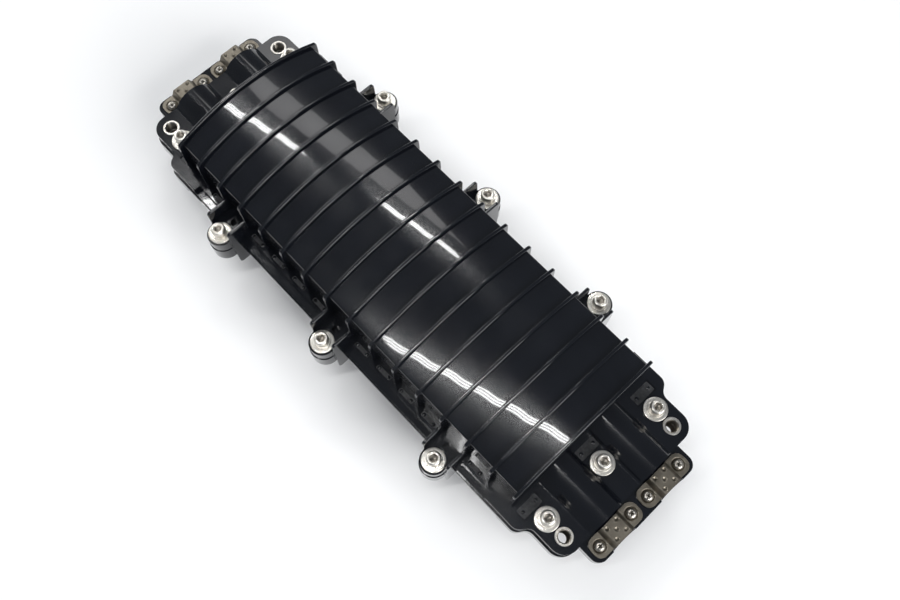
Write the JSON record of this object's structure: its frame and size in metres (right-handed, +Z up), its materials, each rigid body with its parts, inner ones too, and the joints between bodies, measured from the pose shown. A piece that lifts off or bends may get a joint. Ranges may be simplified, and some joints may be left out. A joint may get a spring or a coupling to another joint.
{
  "type": "optical cable junction box",
  "caption": "Horizontal in-line splice closure for optical cable: two ribbed black half shells bolted along a flange, with round cable ports and strap clamps at both ends.",
  "frame": {"origin": "centre of the closure's footprint, on the surface that it rests on", "axes": "+X along the cables towards one end, +Y across, +Z up through the domed upper half"},
  "size_m": [0.461, 0.1764, 0.1081],
  "materials": {
    "shell_black": "gloss",
    "seal_rubber": "matt",
    "grommet_rubber": "matt",
    "clamp_nickel": "satin",
    "bolt_steel": "satin",
    "bush_steel": "satin",
    "carrier_metal": "satin",
    "inner_steel": "satin",
    "anchor_plastic": "matt",
    "anchor_metal": "satin",
    "tray_plastic": "matt",
    "holder_plastic": "matt"
  },
  "bodies": {
    "lower_half": {"lower_shell": "shell_black", "side_gasket_front": "seal_rubber", "side_gasket_back": "seal_rubber", "end_gasket_left": "seal_rubber", "end_gasket_right": "seal_rubber", "port_grommet_1": "grommet_rubber", "port_grommet_2": "grommet_rubber", "port_grommet_3": "grommet_rubber", "port_grommet_4": "grommet_rubber", "cable_clamp_1": "clamp_nickel", "cable_clamp_2": "clamp_nickel", "cable_clamp_3": "clamp_nickel", "cable_clamp_4": "clamp_nickel", "lower_bushes": "bush_steel", "tray_carrier": "carrier_metal", "tray_studs": "inner_steel", "wing_nuts": "inner_steel", "strength_anchor_1": "anchor_plastic", "strength_anchor_2": "anchor_plastic", "strength_anchor_3": "anchor_plastic", "strength_anchor_4": "anchor_plastic", "anchor_plate_1": "anchor_metal", "anchor_plate_2": "anchor_metal", "anchor_plate_3": "anchor_metal", "anchor_plate_4": "anchor_metal", "splice_tray_1": "tray_plastic", "splice_tray_2": "tray_plastic", "splice_tray_3": "tray_plastic", "tray_lid": "tray_plastic", "splice_holder_1": "holder_plastic", "splice_holder_2": "holder_plastic", "splice_holder_3": "holder_plastic"},
    "upper_half": {"upper_shell": "shell_black", "cover_bolts": "bolt_steel", "upper_bushes": "bush_steel"}
  },
  "joints": [
    {"name": "cover_lift", "type": "slide", "parent": "lower_half", "child": "upper_half", "axis": [0, 0, 1], "range_m": [0, 0.16]}
  ]
}
